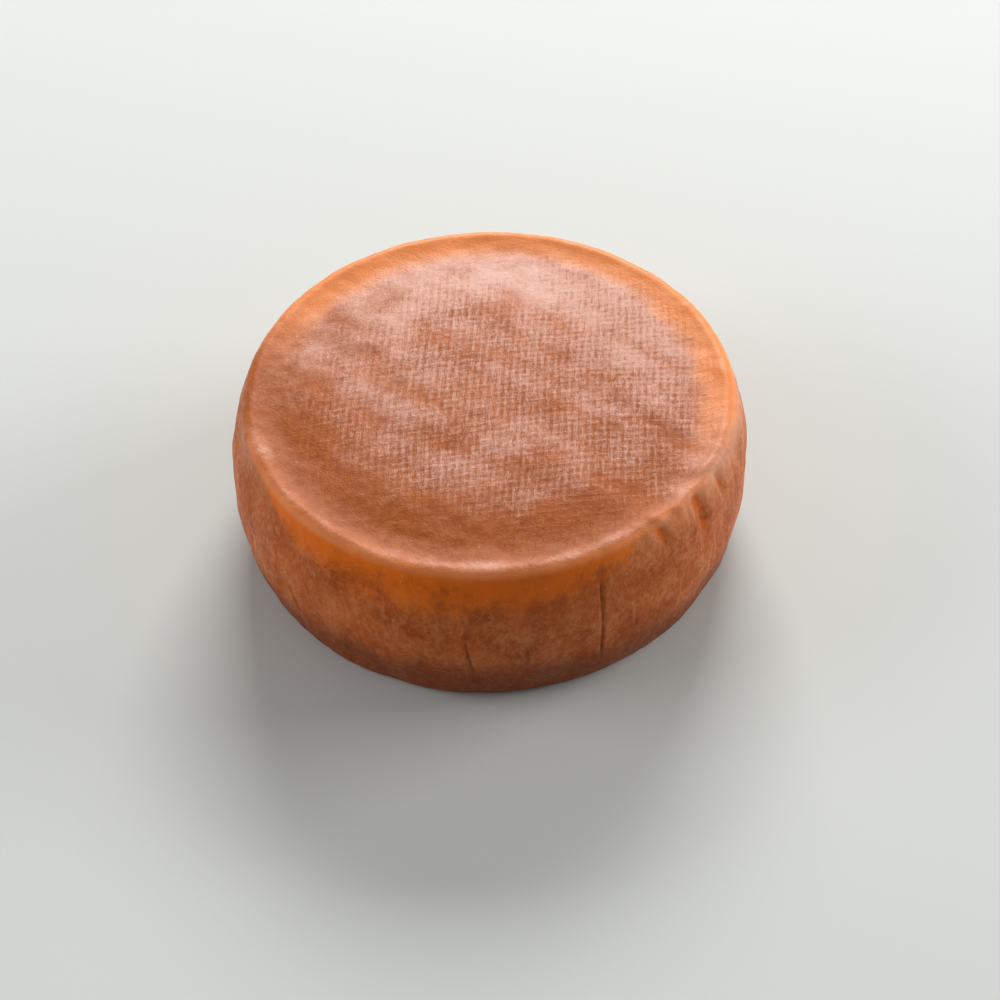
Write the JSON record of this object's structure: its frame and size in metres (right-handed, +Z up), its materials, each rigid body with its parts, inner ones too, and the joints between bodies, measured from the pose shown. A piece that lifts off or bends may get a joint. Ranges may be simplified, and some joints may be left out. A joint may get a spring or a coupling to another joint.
{
  "type": "whole soft cheese wheel",
  "caption": "Low round wheel of soft sheep's milk cheese with a washed rind, a raised lip round its cloth-marked top and a bulging side. It stands on its flat foot.",
  "frame": {"origin": "middle of the flat foot face that the wheel stands on", "axes": "+Z up, out of the cloth-marked top; +X to the right and -Y to the front of the side with the long pleats at its right"},
  "size_m": [0.14, 0.14, 0.0497],
  "materials": {
    "rind": "dry orange-brown washed rind with a pale pink bloom, satin at the lip"
  },
  "bodies": {
    "root": {"cheese_wheel": "rind"}
  },
  "joints": []
}
